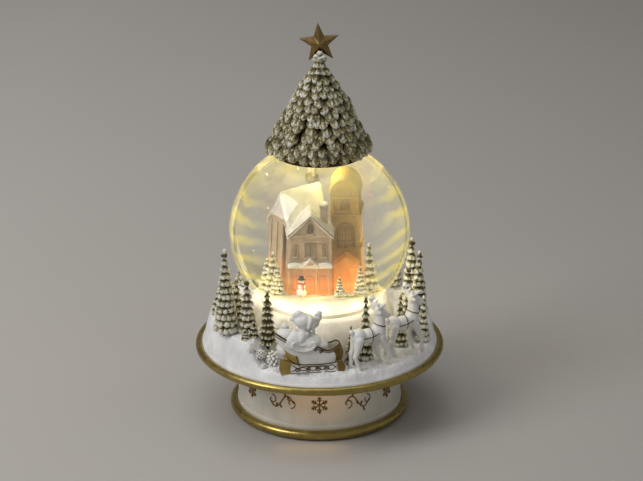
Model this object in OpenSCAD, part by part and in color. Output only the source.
// Musical, lit snow globe: a glass ball full of liquid on a cast snow base, with a fir tree cap and a star on top.
// Frame: +Z up, origin at the centre of the resting face, front towards -Y. Millimetres.

/* [Globe] */
// Outer radius of the glass ball
globe_r = 50; // [49:0.5:51]
// Height of the ball's centre above the table
globe_z = 105.5; // [105:0.5:107]
// Thickness of the glass
glass_t = 2; // [1.5:0.25:2.5]

/* [Base] */
// Radius of the snow plate inside its gilt rim
plate_r = 66; // [65.5:0.5:67]
// Height of the plate's underside
plate_z = 36.6; // [36:0.2:38]
// Outer radius of the foot's wall
foot_r = 46.5; // [46:0.5:48]
// Wall thickness of the foot
foot_wall = 3.5; // [3:0.5:4]
// Height of the level front terrace that the figures stand on
terrace_z = 45.5; // [45:0.5:46]

/* [Tree cap] */
// Radius of the tree cap's lowest tier
cap_r = 28; // [27:0.5:30]
// Height of the tree cap's tip
cap_tip_z = 205; // [200:1:208]
// Radius of the star's points
star_r = 11; // [9:0.5:12]

/* [Movement] */
// How far the switch knob slides
switch_travel = 3; // [2:0.5:3.5]
// Teeth of the spring barrel's crown gear
crown_teeth = 36; // [36]
// Teeth of the pinion on the tune cylinder
pinion_teeth = 9; // [9]
// Teeth of the gear at the cylinder's far end
wheel_teeth = 26; // [26]
// Teeth of the governor's pinion
gov_pinion_teeth = 8; // [8]
// Teeth of the governor's worm wheel
worm_wheel_teeth = 14; // [14]

/* [Hidden] */
$fn = 96;
LIMB_FN = 10;
EPS = 0.01;

// Fir trees on the base: angle, distance from the axis, height, skirt radius
FIRS = [
    [211.5, 60, 49, 6.2], [219, 50.5, 32, 4.6], [227.5, 52.5, 11, 2.4], [234.5, 48.4, 32, 4.0],
    [290.5, 48.4, 22, 3.0], [301.5, 47.8, 38, 4.0], [334, 49.5, 31, 3.6], [345.5, 59.5, 26.6, 3.8],
    [347, 50.6, 40, 4.2], [356.5, 55.5, 37, 4.6], [16, 54, 38, 5.2], [204, 49.8, 27.6, 4.2],
    [42, 56, 43, 5.6],
    [68, 53, 32, 4.8], [92, 56, 44, 5.8], [116, 53, 30, 4.6], [138, 57, 40, 5.4], [162, 54, 16, 4.0],
    [184, 57, 12.5, 3.6],
    [226, 58, 7, 1.9]
];
// How many of them, from the first, are pieces of their own at the front
FRONT_FIRS = 9;
// Low shrubs on the base: angle, distance from the axis, radius
SHRUBS = [
    [235.5, 57, 3.4], [240.5, 53.5, 3.2], [240.5, 60.5, 2.0], [245.5, 51, 2.4], [232.5, 60.6, 2.0],
    [55, 60, 2.6], [150, 60, 2.4]
];
// Trees inside the ball: X, Y, height, skirt radius
SCENE_FIRS = [
    [-19.5, -4.5, 17, 3.2], [-18.3, -12.4, 13, 3.0], [17.6, -9.6, 12, 2.6], [20.2, 1, 19, 3.2],
    [9, -17.4, 9, 2.0], [1.5, 22.3, 14, 2.6], [9.5, 21, 12, 2.8], [-20.8, 3, 12, 2.4]
];
// Flakes that drift in the liquid: X, Y, Z
FLAKES = [
    [-30, -12, 100], [30, -10, 121], [26, -16, 117], [-24, 14, 128], [12, -28, 125], [-10, -30, 112],
    [34, 8, 106], [-34, 4, 112], [0, 30, 122], [18, 26, 110], [-18, 26, 104], [28, -20, 95]
];

globe_in = globe_r - glass_t;
neck_r = 32.5;
neck_in = neck_r - glass_t;
neck_z = 58.3;
shelf_z = 56;
stopper_top = 68;
ground_z = 80;

foot_in = foot_r - foot_wall;
felt_t = 0.6;
bead_r = 2.6;
rim_r = 2.15;
rim_z = 38.7;

cover_z = 13;
cover_t = 2.5;
cover_top = cover_z + cover_t;
lug_pcd_r = 38.5;
door_t = 1.4;
door_lo = [-26.5, -26.5];
door_hi = [31.5, -0.5];
door_screw = [28.8, -13.5];
cell_r = 5.25;
cell_l = 44.5;
cell_z = cover_top + 0.2 + cell_r;
cell_ys = [-7.9, -19.1];
box_lo = [-25, -26.2];
box_hi = [25, -0.8];
box_h = 13;

switch_at = [-34, -12];

drive = [-12, 17.5];
bed_z = cover_top;
bed_t = 2;
bed_top = bed_z + bed_t;
crown_pitch_r = 11.4;
crown_module = 2 * crown_pitch_r / crown_teeth;
pinion_pitch_r = crown_module * pinion_teeth / 2;
cyl_axis_z = 24.75;
crown_pitch_z = cyl_axis_z - pinion_pitch_r;
crown_root_z = crown_pitch_z - 0.9;
cyl_r = 6.3;
cyl_x = [2.8, 19.8];
pin_h = 0.5;
train_module = 0.5;
wheel_pitch_r = train_module * wheel_teeth / 2;
gov_pitch_r = train_module * gov_pinion_teeth / 2;
gov_angle = 45;
gov_y = drive[1] + (wheel_pitch_r + gov_pitch_r) * cos(gov_angle);
gov_z = cyl_axis_z + (wheel_pitch_r + gov_pitch_r) * sin(gov_angle);
worm_r = 1.3;
worm_pitch = PI * train_module;
worm_x = 23.5;
worm_y = gov_y + train_module * worm_wheel_teeth / 2 + worm_r;
running = 0.05;
bridge_ys = [3.1, 31.5];

function polar(angle, r) = [r * cos(angle), r * sin(angle)];
function fir_name(i) = str("fir_", i < 9 ? "0" : "", i + 1);
// The high bank runs from its right end, behind the ball, round to its left end, and steps down at both
bank_end_right = -4;
bank_end_left = 231;
bank_step_deg = [5, 3.5];
bank_lift = [0, 4, 8, 12];
bank_right = [0, bank_end_right - 2 * bank_step_deg[0], bank_end_right - bank_step_deg[0], bank_end_right];
bank_left = [0, bank_end_left + 2 * bank_step_deg[1], bank_end_left + bank_step_deg[1], bank_end_left];
function turned(angle) = angle > 300 ? angle - 360 : angle;
function on_step(angle, i) = turned(angle) >= bank_right[i] && turned(angle) <= bank_left[i];
function bank_step(angle) = on_step(angle, 3) ? 3 : on_step(angle, 2) ? 2 : on_step(angle, 1) ? 1 : 0;
// Height of the seat that a tree or shrub stands on
function seat_z(angle) = terrace_z + bank_lift[bank_step(angle)];

// ---------- Shared shapes ----------

// A rounded limb from one point to another, with a radius at each
module limb(a, ra, b, rb) {
    hull() {
        translate(a) sphere(ra, $fn = LIMB_FN);
        translate(b) sphere(rb, $fn = LIMB_FN);
    }
}

// A tiered fir: a trunk and overlapping cone skirts, standing at z = 0
module fir(h, r, tiers = 5, trunk_r = 1.5, root = 2.5) {
    trunk_h = h * 0.08;
    step = (h - trunk_h) / (tiers + 0.6);
    translate([0, 0, -root]) cylinder(r = trunk_r, h = root + trunk_h + step / 2);
    for (i = [0:tiers - 1]) {
        k = 1 - i / (tiers + 0.4);
        translate([0, 0, trunk_h + i * step])
            cylinder(r1 = r * k, r2 = r * k * 0.28, h = step * (i == tiers - 1 ? 1.6 : 1.45));
    }
}

// Spur gear outline with straight-sided teeth, one of them centred on +X
module gear_outline(teeth, module_mm, top = 0.34, root = 0.62) {
    r = teeth * module_mm / 2;
    tip = r + 0.8 * module_mm;
    base = r - 1.1 * module_mm;
    half_tip = top * module_mm;
    half_root = root * module_mm;
    circle(base);
    for (i = [0:teeth - 1])
        rotate(i * 360 / teeth)
            polygon([[base - 0.3, -half_root], [tip, -half_tip], [tip, half_tip], [base - 0.3, half_root]]);
}

// Turns a shape drawn in XY and built up Z so that it is drawn in YZ and built along X
module along_x() rotate([90, 0, 90]) children();

module screw(r, l, head_r, head_h) {
    translate([0, 0, -head_h / 4]) cylinder(r = r, h = l + head_h / 4);
    translate([0, 0, -head_h]) difference() {
        cylinder(r = head_r, h = head_h);
        translate([-head_r, -0.25, -EPS]) cube([2 * head_r, 0.5, 0.5]);
        translate([-0.25, -head_r, -EPS]) cube([0.5, 2 * head_r, 0.5]);
    }
}

// ---------- Foot and underside ----------

module felt_ring() {
    color("darkgreen") difference() {
        cylinder(r = foot_r - 0.5, h = felt_t);
        translate([0, 0, -1]) cylinder(r = foot_in + 0.2, h = felt_t + 2);
    }
}

module foot_plinth() {
    color("ivory") {
        difference() {
            translate([0, 0, felt_t]) cylinder(r = foot_r, h = plate_z - felt_t);
            translate([0, 0, -1]) cylinder(r = foot_in, h = plate_z + 2);
        }
        for (a = [0:90:270]) rotate(a) difference() {
            intersection() {
                translate([lug_pcd_r - 3.5, -3.5, cover_top]) cube([foot_in + 1 - lug_pcd_r + 3.5, 7, 10]);
                cylinder(r = foot_in + 1, h = plate_z);
            }
            translate([lug_pcd_r, 0, cover_top - 1]) cylinder(r = 0.9, h = 9);
        }
    }
}

module foot_rim_bead() {
    color("goldenrod") rotate_extrude() difference() {
        translate([foot_r + 1.6, felt_t + bead_r]) circle(bead_r);
        translate([foot_r - 10, 0]) square([10, 20]);
    }
}

module bottom_cover() {
    color("white") difference() {
        union() {
            translate([0, 0, cover_z]) cylinder(r = foot_in - 0.3, h = cover_t);
            translate([door_screw[0], door_screw[1], cover_top - EPS]) cylinder(r = 3, h = 6);
        }
        // rebate for the door, and the way through for the cells
        translate([door_lo[0], door_lo[1], cover_z - 1])
            cube([door_hi[0] - door_lo[0], door_hi[1] - door_lo[1], 1 + door_t + 0.1]);
        translate([-24, cell_ys[1] - 5.7, cover_z]) cube([48, cell_ys[0] - cell_ys[1] + 11.4, 5]);
        translate([door_screw[0], door_screw[1], cover_z]) cylinder(r = 1, h = 8);
        // winding shaft, switch slot and cover screws
        translate([drive[0], drive[1], cover_z - 1]) cylinder(r = 2.4, h = 5);
        translate([switch_at[0] - 1.4, switch_at[1] - switch_travel / 2 - 2.2, cover_z - 1])
            cube([2.8, switch_travel + 4.4, 5]);
        for (a = [0:90:270]) rotate(a) translate([lug_pcd_r, 0, cover_z - 1]) cylinder(r = 1.2, h = 5);
    }
}

module cover_screws() {
    color("silver") for (a = [0:90:270]) rotate(a)
        translate([lug_pcd_r, 0, cover_z]) screw(0.85, 9.5, 2.1, 1.2);
}

module battery_box() {
    w = [box_hi[0] - box_lo[0], box_hi[1] - box_lo[1]];
    color("white") translate([box_lo[0], box_lo[1], cover_top]) difference() {
        cube([w[0], w[1], box_h]);
        translate([1.2, 1.2, -1]) cube([w[0] - 2.4, w[1] - 2.4, box_h - 0.2]);
        // holes for the leads
        for (s = [-1, 1]) translate([-box_lo[0] + s * 1.2, 3, 26.05 - cover_top])
            rotate([90, 0, 0]) cylinder(r = 0.8, h = 6);
    }
    // rib between the two cells
    color("white") translate([-18, (cell_ys[0] + cell_ys[1]) / 2 - 0.25, cover_top + 8])
        cube([36, 0.5, box_h - 8.5]);
}

module battery_cells() {
    color("royalblue") for (i = [0, 1]) translate([0, cell_ys[i], cell_z]) rotate([0, i == 0 ? 90 : -90, 0]) {
        translate([0, 0, -cell_l / 2]) cylinder(r = cell_r, h = cell_l - 1);
        translate([0, 0, cell_l / 2 - 1 - EPS]) cylinder(r = 1.9, h = 1 + EPS);
    }
}

module battery_contacts() {
    color("silver") for (s = [-1, 1])
        translate([s * 23.45 - 0.2, cell_ys[1] - 4, cover_top + 1.5])
            cube([0.4, cell_ys[0] - cell_ys[1] + 8, 9]);
    // buttons that the cells' tips press on
    color("silver") for (i = [0, 1])
        translate([i == 0 ? cell_l / 2 : -23.3, cell_ys[i], cell_z])
            rotate([0, 90, 0]) cylinder(r = 1.4, h = 23.3 - cell_l / 2);
}

// A short spring along Z: level rings of wire, each bridged to the next on the other side
module coil(r, wire, rings, h) {
    pitch = (h - 2 * wire) / (rings - 1);
    for (i = [0:rings - 1]) translate([0, 0, wire + i * pitch])
        rotate_extrude() translate([r, 0]) circle(wire, $fn = 16);
    for (i = [0:rings - 2]) translate([i % 2 == 0 ? r : -r, 0, wire + i * pitch])
        cylinder(r = wire * 0.8, h = pitch, $fn = 16);
}

module battery_springs() {
    gap = 23.25 - cell_l / 2;
    color("silver") for (i = [0, 1])
        translate([i == 0 ? -23.25 : 23.25, cell_ys[i], cell_z]) rotate([0, i == 0 ? 90 : -90, 0])
            coil(2.6, 0.22, 3, gap);
}

module battery_door() {
    size = [door_hi[0] - door_lo[0] - 0.6, door_hi[1] - door_lo[1] - 0.6];
    color("white") difference() {
        union() {
            translate([door_lo[0] + 0.3, door_lo[1] + 0.3, cover_z]) cube([size[0], size[1], door_t]);
            // pads that steady the cells
            for (y = cell_ys) translate([-14, y - 1, cover_z + door_t - EPS]) cube([28, 2, 0.9]);
        }
        translate([door_screw[0], door_screw[1], cover_z - 1]) cylinder(r = 1.1, h = 5);
        translate([door_screw[0], door_screw[1], cover_z - EPS]) cylinder(r = 2.2, h = 0.8 + EPS);
        // finger grooves
        for (i = [0:3]) translate([-22 + i * 1.6, -20, cover_z - EPS]) cube([0.7, 13, 0.4]);
    }
}

module battery_door_screw() {
    color("silver") translate([door_screw[0], door_screw[1], cover_z + 0.8]) screw(0.85, 6, 2, 0.8);
}

module switch_body() {
    color("dimgray") translate([switch_at[0], switch_at[1], cover_top]) difference() {
        translate([-2.5, -5, 0]) cube([5, 10, 5]);
        translate([-1.5, -switch_travel / 2 - 2.3, -1]) cube([3, switch_travel + 4.6, 3.2]);
    }
}

module switch_knob() {
    color("black") translate([switch_at[0] - 1.2, switch_at[1] - switch_travel / 2 - 1.5, cover_z - 1.5]) {
        cube([2.4, 3, 5.5]);
        for (y = [0.3, 1.2, 2.1]) translate([0, y, -0.4]) cube([2.4, 0.5, 0.5]);
    }
}

// ---------- Light ----------

board_z = 48;
board_r = 35;
post_r = 33.3;

module led_board() {
    color("seagreen") difference() {
        translate([0, 0, board_z]) cylinder(r = board_r, h = 1.6);
        for (a = [90:120:330]) rotate(a) translate([post_r, 0, board_z - 1]) cylinder(r = 1.1, h = 4);
    }
}

module leds() {
    color("lightyellow") for (i = [0:8]) {
        p = i == 8 ? [0, 0] : polar(i * 45 + 22.5, 18);
        translate([p[0], p[1], board_z + 1.6]) {
            cylinder(r = 2.5, h = 1.5);
            translate([0, 0, 1.5 - EPS]) intersection() {
                sphere(2.1);
                cylinder(r = 3, h = 3);
            }
        }
    }
}

module led_board_screws() {
    color("silver") for (a = [90:120:330]) rotate(a) translate([post_r, 0, board_z]) screw(0.85, 6, 1.9, 1);
}

module light_diffuser() {
    color("white") translate([0, 0, shelf_z - 1.55]) difference() {
        cylinder(r = post_r - 2.1, h = 1.5);
        translate([0, 0, -1]) cylinder(r = 0.8, h = 4);
    }
}

// Two insulated leads from the battery box to the board, each swept along its route
function lead_route(side) = [
    [side * 1.2, -25.2, 26], [side * 1.2, -27.4, 26.2], [side * 1.3, -29.8, 27.6], [side * 1.4, -31, 30.6],
    [side * 1.4, -31.2, 36], [side * 1.3, -30.4, 40], [side * 1.2, -28.8, 43.2], [side * 1.1, -27.4, 45.6],
    [side * 1.1, -26.6, 47.9]
];

function unit(v) = v / norm(v);

module tube(route, r, sides = 8) {
    n = len(route);
    rings = [for (i = [0:n - 1]) let (
            t = unit(route[min(i + 1, n - 1)] - route[max(i - 1, 0)]), u = [1, 0, 0], v = cross(t, u))
        [for (k = [0:sides - 1]) let (a = 360 * k / sides) route[i] + r * (cos(a) * u + sin(a) * v)]];
    points = [for (ring = rings) each ring];
    skin = [for (i = [0:n - 2], k = [0:sides - 1]) let (m = (k + 1) % sides)
        [i * sides + k, i * sides + m, (i + 1) * sides + m, (i + 1) * sides + k]];
    polyhedron(points, concat(skin, [[for (k = [sides - 1:-1:0]) k]],
        [[for (k = [0:sides - 1]) (n - 1) * sides + k]]), convexity = 4);
}

module lead_wires() {
    color("red") tube(lead_route(1), 0.65);
    color("black") tube(lead_route(-1), 0.65);
}

// ---------- Musical movement ----------

module movement_bedplate() {
    post = [0.9, 2.3];
    far_post = [21.6, 22.6];
    color("silver") difference() {
        union() {
            translate([-26, 1.5, bed_z]) cube([52.5, 31.4, bed_t]);
            // near bearing post of the cylinder
            translate([post[0], 0, 0]) along_x() linear_extrude(post[1] - post[0])
                polygon([[14.5, bed_top - EPS], [20.5, bed_top - EPS],
                    [19.2, cyl_axis_z + 1.8], [15.8, cyl_axis_z + 1.8]]);
            // far bearing post of the cylinder and the governor
            translate([far_post[0], 0, 0]) along_x() linear_extrude(far_post[1] - far_post[0])
                polygon([[13, bed_top - EPS], [21, bed_top - EPS], [23.2, 25], [25.3, 28.6], [25.3, gov_z + 1.6],
                    [22, gov_z + 1.6], [14.5, cyl_axis_z + 2.4]]);
            // comb shelf
            translate([3, 2.2, bed_top - EPS]) cube([16.6, 4.6, cyl_axis_z - 0.6 - bed_top]);
            // worm's lower bearing
            translate([worm_x, worm_y, bed_top - EPS]) cylinder(r = 1.6, h = 1.2);
            // worm's upper bearing arm
            translate([worm_x - 1.5, worm_y + 2.7, bed_top - EPS]) cube([3, 1.4, 38 - bed_top]);
            translate([worm_x - 1.5, worm_y - 1.5, 36.8]) cube([3, 5.6, 1.2]);
            // bridge posts
            for (y = bridge_ys) translate([drive[0], y, bed_top - EPS]) cylinder(r = 1.3, h = 31.5 - bed_top);
        }
        translate([drive[0], drive[1], bed_z - 1]) cylinder(r = 1.5 + running, h = 5);
        for (x = [post[0], far_post[0]])
            translate([x - 1, drive[1], cyl_axis_z]) rotate([0, 90, 0]) cylinder(r = 1 + running, h = 4);
        translate([far_post[0] - 1, gov_y, gov_z]) rotate([0, 90, 0]) cylinder(r = 0.7 + running, h = 3);
        translate([worm_x, worm_y, bed_top + 0.2]) cylinder(r = 0.6 + running, h = 30);
        // fixing holes for the comb
        for (x = [6.5, 16]) translate([x, 4.4, cyl_axis_z - 5]) cylinder(r = 0.7, h = 8);
    }
}

module movement_bridge() {
    color("silver") difference() {
        union() {
            translate([drive[0] - 2.2, bridge_ys[0] - 1.3, 31.5])
                cube([4.4, bridge_ys[1] - bridge_ys[0] + 2.6, 1.4]);
            translate([drive[0], drive[1], 31.5]) cylinder(r = 3.4, h = 1.4);
        }
        translate([drive[0], drive[1], 30]) cylinder(r = 1.5 + running, h = 5);
    }
}

module winding_key() {
    color("silver") translate([drive[0], drive[1], 0]) difference() {
        union() {
            translate([0, 0, 6]) cylinder(r = 3, h = 6.4);
            for (s = [-1, 1]) hull() {
                translate([s * 2, -0.9, 6.2]) cube([0.2, 1.8, 5]);
                translate([s * 8.2, 0.9, 7.2]) rotate([90, 0, 0]) cylinder(r = 3.4, h = 1.8, $fn = 32);
            }
        }
        translate([0, 0, 7.5]) cylinder(r = 1.5, h = 6);
        for (s = [-1, 1]) translate([s * 8.4, 3, 7.2]) rotate([90, 0, 0]) cylinder(r = 1.6, h = 6);
    }
}

module winding_shaft() {
    color("silver") translate([drive[0], drive[1], 7.5]) cylinder(r = 1.5, h = 25.6);
}

module spring_barrel() {
    color("khaki") translate([drive[0], drive[1], 0]) difference() {
        union() {
            translate([0, 0, crown_root_z - 1.4]) cylinder(r = 12.4, h = 1.4);
            translate([0, 0, crown_root_z - EPS]) cylinder(r = 9.6, h = 30 - crown_root_z);
            for (i = [0:crown_teeth - 1]) rotate(i * 360 / crown_teeth)
                translate([10.8, 0, crown_root_z - EPS]) rotate([90, 0, 90]) linear_extrude(1.5)
                    polygon([[-0.42, 0], [0.42, 0], [0.2, 1.32], [-0.2, 1.32]]);
        }
        translate([0, 0, crown_root_z + 0.6]) cylinder(r = 8.9, h = 20);
        translate([0, 0, bed_z]) cylinder(r = 1.5 + running, h = 20);
    }
}

// A flat spiral of spring strip between the shaft and the drum
module mainspring() {
    turns = 6;
    steps = turns * 20;
    strip = 0.25;
    function at(i, off) = let (a = 360 * turns * i / steps, r = 2.4 + 5.9 * i / steps + off)
        [r * cos(a), r * sin(a)];
    color("steelblue") translate([drive[0], drive[1], crown_root_z + 1])
        linear_extrude(7) polygon(concat([for (i = [0:steps]) at(i, strip)],
            [for (i = [steps:-1:0]) at(i, -strip)]));
}

module tune_cylinder() {
    tracks = 18;
    color("gold") {
        translate([0, drive[1], cyl_axis_z]) rotate([0, 90, 0]) {
            translate([0, 0, -1.1]) cylinder(r = 1, h = 23.7);
            translate([0, 0, cyl_x[0]]) cylinder(r = cyl_r, h = cyl_x[1] - cyl_x[0]);
            // tune pins
            for (t = [0:tracks - 1], k = [0, 1])
                rotate((t * 137 + k * 97) % 360) translate([cyl_r - 0.2, 0, cyl_x[0] + 0.9 + t * 0.89])
                    rotate([0, 90, 0]) cylinder(r = 0.18, h = pin_h + 0.2);
        }
        // pinion driven by the crown gear: a gap faces the crown's tooth at the lowest point
        translate([-1.1, drive[1], cyl_axis_z]) along_x() linear_extrude(1.4)
            rotate(-90 + 180 / pinion_teeth) gear_outline(pinion_teeth, crown_module, 0.3, 0.5);
        translate([20, drive[1], cyl_axis_z]) along_x() linear_extrude(1.2)
            rotate(gov_angle) gear_outline(wheel_teeth, train_module);
    }
}

module tone_comb() {
    teeth = 18;
    tip_y = drive[1] - cyl_r - pin_h - 0.2;
    z = cyl_axis_z - 0.6;
    color("lightgray") difference() {
        union() {
            translate([3, 2.2, z]) cube([16.6, 4.8, 0.9]);
            for (t = [0:teeth - 1]) translate([cyl_x[0] + 0.9 + t * 0.89 - 0.25, 6.9, z])
                cube([0.5, tip_y - 6.9, 0.6]);
        }
        for (x = [6.5, 16]) translate([x, 4.4, z - 1]) cylinder(r = 0.9, h = 4);
    }
}

module comb_screws() {
    color("silver") for (x = [6.5, 16]) translate([x, 4.4, cyl_axis_z + 0.3])
        rotate([180, 0, 0]) screw(0.65, 4, 1.5, 0.9);
}

module governor_wheel() {
    color("white") {
        translate([19.9, gov_y, gov_z]) rotate([0, 90, 0]) cylinder(r = 0.7, h = 4.4);
        translate([20, gov_y, gov_z]) along_x() linear_extrude(1.2)
            rotate(gov_angle + 180 + 180 / gov_pinion_teeth) gear_outline(gov_pinion_teeth, train_module);
        // a gap faces the worm's axis, where the thread crosses
        translate([worm_x - 0.6, gov_y, gov_z]) along_x() linear_extrude(1.2)
            rotate(180 / worm_wheel_teeth) gear_outline(worm_wheel_teeth, train_module, 0.26, 0.42);
    }
}

module governor_worm() {
    thread_z = 7;
    thread_deg = 100;
    slices = 54;
    color("silver") translate([worm_x, worm_y, 0]) {
        translate([0, 0, bed_top + 0.3]) cylinder(r = 0.6, h = 20.1);
        // thread: the middle of the ridge crosses the wheel's side at the wheel's own height
        translate([0, 0, gov_z - thread_z / 2])
            linear_extrude(thread_z, twist = -360 * thread_z / worm_pitch, slices = slices, $fn = 20)
                rotate(270 - 360 * (thread_z / 2) / worm_pitch) {
                    circle(0.85, $fn = 12);
                    polygon([for (a = [-thread_deg / 2:thread_deg / 4:thread_deg / 2]) polar(a, 1.7), [0, 0]]);
                }
        // air brake
        translate([0, 0, bed_top + 2.4]) cylinder(r = 1.4, h = 4);
        for (s = [0, 180]) rotate(s) translate([0, -0.2, bed_top + 2.4]) cube([2.4, 0.4, 4]);
    }
}

// ---------- Snow base ----------

// Half section of the casting: distance from the axis, height
function base_section() = [
    [36, shelf_z], [30, shelf_z], [30, neck_z], [neck_r + 0.5, neck_z], [neck_r + 0.5, 65.5], [35, 66.5],
    [37.5, 65.4],
    [40.4, 60], [42.6, 53], [43.8, 48.6], [45, 46.4], [46.4, terrace_z], [63.5, terrace_z],
    [65.2, 43.8], [plate_r, 41],
    [plate_r, plate_z], [foot_in - 0.3, plate_z], [foot_in - 0.3, plate_z - 3], [41, plate_z - 3], [41, 42], [36, 44]
];

// Higher banks of snow beside and behind the ball, a level at a time
module snow_banks() {
    for (i = [1:3]) rotate(bank_right[i]) rotate_extrude(angle = bank_left[i] - bank_right[i])
        polygon([[40, 44], [64.6, 44], [64.9 - i * 0.3, 41 + i * 4],
            [63.6 - i * 0.6, terrace_z + bank_lift[i] - 1.6],
            [61.6 - i * 0.4, terrace_z + bank_lift[i]], [40, terrace_z + bank_lift[i]]]);
}

module snow_base() {
    color("white") difference() {
        union() {
            rotate_extrude() polygon(base_section());
            snow_banks();
            for (a = [90:120:330]) rotate(a)
                translate([post_r, 0, board_z + 1.6]) cylinder(r = 2, h = shelf_z - board_z - 1.6 + EPS);
        }
        for (a = [90:120:330]) rotate(a) translate([post_r, 0, board_z]) cylinder(r = 0.9, h = 7);
        // a socket and a level seat for each tree
        for (t = FIRS) {
            p = polar(t[0], t[1]);
            translate([p[0], p[1], seat_z(t[0]) - 2.6]) cylinder(r = 1.55, h = 10);
            translate([p[0], p[1], seat_z(t[0])]) cylinder(r = t[3] + 0.3, h = 30);
        }
        for (s = SHRUBS) {
            p = polar(s[0], s[1]);
            translate([p[0], p[1], seat_z(s[0])]) cylinder(r = s[2] + 0.5, h = 30);
        }
    }
}

module plate_rim_bead() {
    color("goldenrod") rotate_extrude() difference() {
        translate([plate_r + 1.7, rim_z]) circle(rim_r);
        translate([plate_r - 10, 20]) square([10, 40]);
    }
}

// ---------- Ball and what it holds ----------

// Half section of the ball's inside, with its neck, down to a height
module globe_inside(r, low, neck) {
    rotate_extrude() intersection() {
        union() {
            translate([0, globe_z]) circle(r);
            translate([0, low]) square([neck, globe_z - low]);
        }
        translate([0, low]) square([r + 1, globe_z + r - low + 1]);
    }
}

module glass_globe() {
    color([0.9, 0.95, 1, 0.3]) difference() {
        union() {
            translate([0, 0, globe_z]) sphere(globe_r);
            translate([0, 0, neck_z]) cylinder(r = neck_r, h = 14);
        }
        translate([0, 0, globe_z]) sphere(globe_in);
        translate([0, 0, 40]) cylinder(r = neck_in, h = 30.5);
        translate([0, 0, 40]) cylinder(r = 60, h = neck_z - 40);
    }
}

module globe_stopper() {
    color("whitesmoke") difference() {
        union() {
            translate([0, 0, neck_z + 0.05]) cylinder(r = neck_in - 0.05, h = stopper_top - neck_z - 0.05);
            translate([0, 0, shelf_z + 0.05]) cylinder(r = 29.9, h = neck_z - shelf_z + 0.5);
        }
        translate([0, 0, shelf_z - 1]) cylinder(r = 24, h = 7);
    }
}

module liquid_fill() {
    color([0.95, 0.95, 0.85, 0.2]) difference() {
        union() {
            translate([0, 0, globe_z]) sphere(globe_in - 0.02);
        }
        translate([0, 0, 40]) cylinder(r = 60, h = stopper_top + 0.6 - 40);
        // room for the village
        translate([0, 0, 60]) cylinder(r = 29.8, h = ground_z + 0.3 - 60);
        translate([0, 0, ground_z]) cylinder(r = 26.5, h = 51);
    }
}

module snow_flakes() {
    color("white") for (i = [0:len(FLAKES) - 1])
        translate(FLAKES[i]) rotate([i * 40, i * 65, 0]) cylinder(r = 0.5, h = 0.15, center = true, $fn = 6);
}

module scene_ground() {
    color("white") rotate_extrude() polygon([
        [0, stopper_top], [29.2, stopper_top], [29.4, 70], [28.8, 74], [27.6, 77], [26.2, 79],
        [24, ground_z], [0, ground_z]
    ]);
}

// A building block with a gable roof over it: low corner, size, eaves and ridge heights, ridge along Y
module gabled(at, size, ridge, over = 0.8, roof_t = 1.1) {
    translate(at) cube(size);
    translate([at[0] + size[0] / 2, at[1] - over, at[2] + size[2]]) rotate([90, 0, 0]) mirror([0, 0, 1])
        linear_extrude(size[1] + 2 * over)
            polygon([[-size[0] / 2 - over, -over * 0.8],
                [-size[0] / 2 - over, roof_t - over * 0.8], [0, ridge + roof_t],
                [size[0] / 2 + over, roof_t - over * 0.8], [size[0] / 2 + over, -over * 0.8],
                [size[0] / 2, 0], [-size[0] / 2, 0]]);
}

module scene_house() {
    color("wheat") difference() {
        union() {
            gabled([-13, -8.5, ground_z], [18, 11, 26], 9);
            // porch roof across the front
            translate([-13.6, -11, ground_z + 12]) cube([19.2, 2.6, 1.6]);
            gabled([-7.5, -11, ground_z + 11], [7, 2.6, 2.6], 2.8, 0.5, 0.7);
            for (x = [-12.8, -7.3, -1.2, 4.2]) translate([x, -10.6, ground_z]) cylinder(r = 0.4, h = 12.2);
            // chimney
            translate([0.4, -2.5, ground_z + 28]) cube([3, 3, 10]);
        }
        // door and windows
        translate([-5.6, -9, ground_z]) cube([3.2, 1.1, 7]);
        for (x = [-11, 0.2]) translate([x, -9, ground_z + 2.6]) cube([3.6, 1.1, 5.4]);
        for (x = [-10.6, -6.2, -1.8, 2.2]) translate([x, -9, ground_z + 16.5]) cube([2.2, 1.1, 5.6]);
        translate([-5.2, -9, ground_z + 26.6]) cube([2.4, 1.1, 4]);
    }
}

module scene_nave() {
    color("wheat") difference() {
        translate([-8, 9, 0]) rotate(118) gabled([-7.2, -8, ground_z], [13.5, 17, 28], 12, 1, 1.2);
        // clear of the house and the tower
        translate([-14.3, -9.6, ground_z - 1]) cube([20.6, 13.4, 60]);
        translate([3.8, 2.2, ground_z - 1]) cube([20, 20, 70]);
        translate([0, 0, ground_z - 1]) difference() {
            cylinder(r = 60, h = 80);
            translate([0, 0, -1]) cylinder(r = 26, h = 90);
        }
    }
}

module scene_tower() {
    color("tan") difference() {
        union() {
            translate([4.8, 4, ground_z]) cube([11.4, 11.4, 39]);
            translate([4.2, 3.4, ground_z + 30]) cube([12.6, 12.6, 1.4]);
            gabled([4.8, 4, ground_z + 38], [11.4, 11.4, 4.4], 7, 0.8, 0.9);
            // chapel at the tower's foot
            translate([5.8, -3.4, ground_z]) cube([10, 7.5, 13.4]);
            translate([5.3, -3.9, ground_z + 13.4 - EPS]) cube([11, 8, 1.2]);
        }
        translate([8.6, 3, ground_z + 17]) cube([3.8, 1.8, 8]);
        translate([8.7, 3, ground_z + 32.6]) cube([3.6, 1.8, 5]);
        translate([9, -4, ground_z + 2]) cube([3.4, 1.4, 6.5]);
    }
}

module scene_firs() {
    color("darkolivegreen") for (t = SCENE_FIRS) translate([t[0], t[1], ground_z + 0.02]) fir(t[2], t[3], 4, 0.7, 0);
}

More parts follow.
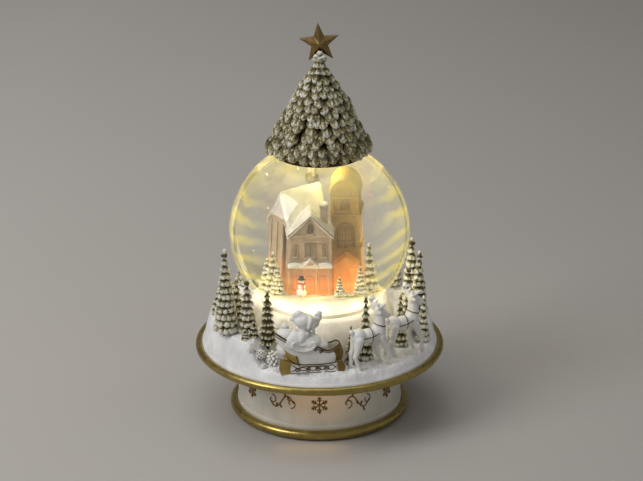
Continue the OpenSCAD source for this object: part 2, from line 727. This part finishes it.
module snowman() {
    color("white") translate([-8, -16.5, ground_z + 0.05]) {
        intersection() {
            union() {
                translate([0, 0, 1.9]) sphere(2.3);
                translate([0, 0, 5.0]) sphere(1.7);
                translate([0, 0, 7.4]) sphere(1.25);
            }
            translate([-5, -5, 0]) cube([10, 10, 8.05]);
        }
    }
}

module snowman_hat() {
    color("black") translate([-8, -16.5, ground_z + 8.12]) {
        cylinder(r = 1.7, h = 0.3);
        cylinder(r = 1.0, h = 1.7);
    }
}

// ---------- Tree cap and star ----------

module tree_cap() {
    tiers = 9;
    low = 152;
    step = (cap_tip_z - low) / (tiers + 0.5);
    color("darkolivegreen") difference() {
        union() {
            for (i = [0:tiers - 1]) {
                k = pow(1 - i / (tiers + 0.4), 0.75);
                translate([0, 0, low + i * step])
                    cylinder(r1 = cap_r * k, r2 = cap_r * k * (i < tiers - 1 ? 0.72 : 0.38),
                        h = step * 1.45);
            }
            translate([0, 0, 149]) cylinder(r1 = 24.8, r2 = 26.8, h = 4);
        }
        translate([0, 0, globe_z]) sphere(globe_r + 0.05);
        translate([0, 0, cap_tip_z - 6]) cylinder(r = 0.85, h = 20);
    }
}

star_z = cap_tip_z + 7.4;

// A five-pointed star, ridged on both faces
module star() {
    outline = [for (i = [0:9]) polar(90 + i * 36, i % 2 == 0 ? star_r : star_r * 0.42)];
    points = concat([for (p = outline) [p[0], 0, p[1]]], [[0, -3, 0], [0, 3, 0]]);
    faces = [for (i = [0:9]) each [[i, 10, (i + 1) % 10], [(i + 1) % 10, 11, i]]];
    color("darkgoldenrod") translate([0, 0, star_z]) difference() {
        rotate([0, -5, 0]) polyhedron(points, faces);
        translate([0, 0, -star_r]) cylinder(r = 0.85, h = star_r + 0.7);
    }
}

module star_pin() {
    color("silver") translate([0, 0, cap_tip_z - 6]) cylinder(r = 0.8, h = 14);
}

// ---------- Figures ----------

sleigh_at = [-4.2, -53, terrace_z];
sleigh_heading = 7.5;
sleigh_w = 12;

// Side outline of the skirt that carries each runner
module skirt_outline() {
    polygon([[-17.4, 0], [-18.6, 4], [-18.4, 10], [-14, 8], [-8, 5], [8.6, 5], [17, 6.4], [17.6, 3], [16.8, 0]]);
}

module sleigh() {
    shell_t = 1;
    color("whitesmoke") translate(sleigh_at) rotate(sleigh_heading) {
        difference() {
            translate([0, sleigh_w / 2, 0]) rotate([90, 0, 0]) linear_extrude(sleigh_w) polygon([
                [-15, 4.4], [-18.4, 9], [-19, 15], [-21, 20.6], [-19.4, 23], [-15.6, 21.8],
                [-12.6, 19.4], [-7.5, 17.2],
                [0, 16.2], [6.4, 13.6], [9.4, 12.8], [12.6, 14.2], [15.8, 13.4], [18, 8], [17, 4.6], [8.6, 3.6], [-8, 3.6]
            ]);
            translate([0, sleigh_w / 2 - shell_t, 0]) rotate([90, 0, 0]) linear_extrude(sleigh_w - 2 * shell_t) polygon([
                [-14.2, 5.2], [-17.2, 10], [-15.8, 26], [11.4, 26], [13.8, 12.4], [13, 6], [7, 4.8]
            ]);
        }
        for (y = [-sleigh_w / 2 + 0.2, sleigh_w / 2 - 1.2])
            translate([0, y + 1, 0]) rotate([90, 0, 0]) linear_extrude(1) skirt_outline();
    }
}

// A seated figure in a robe and cap with a sack behind, one arm raised
module seated_figure() {
    color("whitesmoke") translate(sleigh_at) rotate(sleigh_heading) intersection() {
        union() {
            limb([-6, 0, 9], 4.8, [-5.6, 0, 18], 5.6);
            limb([-5.6, 0, 18], 5.6, [-4.2, 0, 24], 3.8);
            limb([-3, 0, 18], 4.6, [0.4, 0, 13], 4.2);
            limb([-3.8, 0, 28.6], 2.8, [-3.4, 0, 25.4], 2.2);
            limb([-4.2, 0, 30.6], 2.9, [-5.2, 0, 34.6], 1.9);
            limb([-5.2, 0, 34.6], 1.9, [-7.8, 0.4, 33.4], 1.1);
            // raised arm
            limb([-3.6, 3, 22.4], 2.2, [2, 3.2, 24.4], 1.9);
            limb([2, 3.2, 24.4], 1.9, [4.4, 3.4, 31.6], 1.5);
            // arm across the chest
            limb([-6.2, -3.2, 22], 1.9, [-8.4, -3.6, 17], 1.6);
            limb([-8.4, -3.6, 17], 1.6, [-4, -3.8, 18.8], 1.4);
            for (side = [-1, 1]) limb([-5, side * 2, 8], 2.4, [4.4, side * 2.4, 8.4], 2);
            // sack
            limb([-11.6, 0, 10], 3.8, [-12, 0, 19], 4.8);
            limb([-12, 0, 19], 4.8, [-12.6, 0.6, 24.4], 2.8);
        }
        translate([-16.6, -4.9, 5.25]) cube([60, 9.8, 40]);
    }
}

// A standing reindeer that faces +X, hooves on z = 0
module reindeer() {
    limb([-7, 0, 14.6], 3.0, [-1, 0, 14.4], 2.9);
    limb([-1, 0, 14.4], 2.9, [6.4, 0, 15.6], 3.1);
    limb([6.6, 0, 16.4], 2.8, [7.2, 0, 24], 2.0);
    limb([7.2, 0, 25.4], 2.1, [10.2, -1.4, 24.4], 1.4);
    limb([-9.6, 0, 15.6], 1.2, [-11, 0, 17], 0.9);
    for (s = [-1, 1]) {
        limb([-7.4, s * 1.8, 13], 2.0, [-9, s * 2, 7], 1.1);
        limb([-9, s * 2, 7], 1.1, [-8.6 - s * 1.4, s * 2, 0.8], 0.8);
        limb([6.8, s * 1.6, 13.4], 1.6, [7.6 - s * 2.6, s * 1.8, 7], 1.0);
        limb([7.6 - s * 2.6, s * 1.8, 7], 1.0, [10.2 - s * 1.6, s * 1.8, 0.8], 0.75);
        // antlers
        limb([6.8, s * 1, 26.8], 0.6, [5.6, s * 3.6, 29.6], 0.5);
        limb([5.6, s * 3.6, 29.6], 0.5, [7.2, s * 5.2, 32.6], 0.4);
        limb([6.2, s * 2.6, 28.6], 0.5, [8.6, s * 3.4, 31], 0.4);
        limb([7, s * 1.8, 25.8], 0.7, [5.8, s * 3.4, 25.6], 0.35);
    }
}

module placed_reindeer(angle, r, heading) {
    p = polar(angle, r);
    color("whitesmoke") translate([p[0], p[1], terrace_z + 0.02]) rotate(heading) scale(1.08) reindeer();
}

module shrubs() {
    color("silver") for (s = SHRUBS) {
        p = polar(s[0], s[1]);
        translate([p[0], p[1], seat_z(s[0]) + 0.05]) intersection() {
            translate([0, 0, s[2] * 0.5]) sphere(s[2]);
            translate([-5, -5, 0]) cube(10);
        }
    }
}

module standing_fir(t) {
    p = polar(t[0], t[1]);
    color("darkolivegreen") translate([p[0], p[1], seat_z(t[0]) + 0.05]) fir(t[2], t[3]);
}

felt_ring();
foot_plinth();
foot_rim_bead();
bottom_cover();
cover_screws();
battery_box();
battery_cells();
battery_contacts();
battery_springs();
battery_door();
battery_door_screw();
switch_body();
switch_knob();
lead_wires();
led_board();
leds();
led_board_screws();
light_diffuser();
movement_bedplate();
movement_bridge();
winding_key();
winding_shaft();
spring_barrel();
mainspring();
tune_cylinder();
tone_comb();
comb_screws();
governor_wheel();
governor_worm();
snow_base();
plate_rim_bead();
glass_globe();
globe_stopper();
liquid_fill();
snow_flakes();
scene_ground();
scene_house();
scene_nave();
scene_tower();
scene_firs();
snowman();
snowman_hat();
tree_cap();
star();
star_pin();
sleigh();
seated_figure();
placed_reindeer(299.5, 56.6, 27);  // reindeer_near
placed_reindeer(326, 56.5, 32);  // reindeer_far
shrubs();
for (i = [0:FRONT_FIRS - 1]) standing_fir(FIRS[i]);
for (i = [FRONT_FIRS:len(FIRS) - 1]) standing_fir(FIRS[i]);  // other_firs
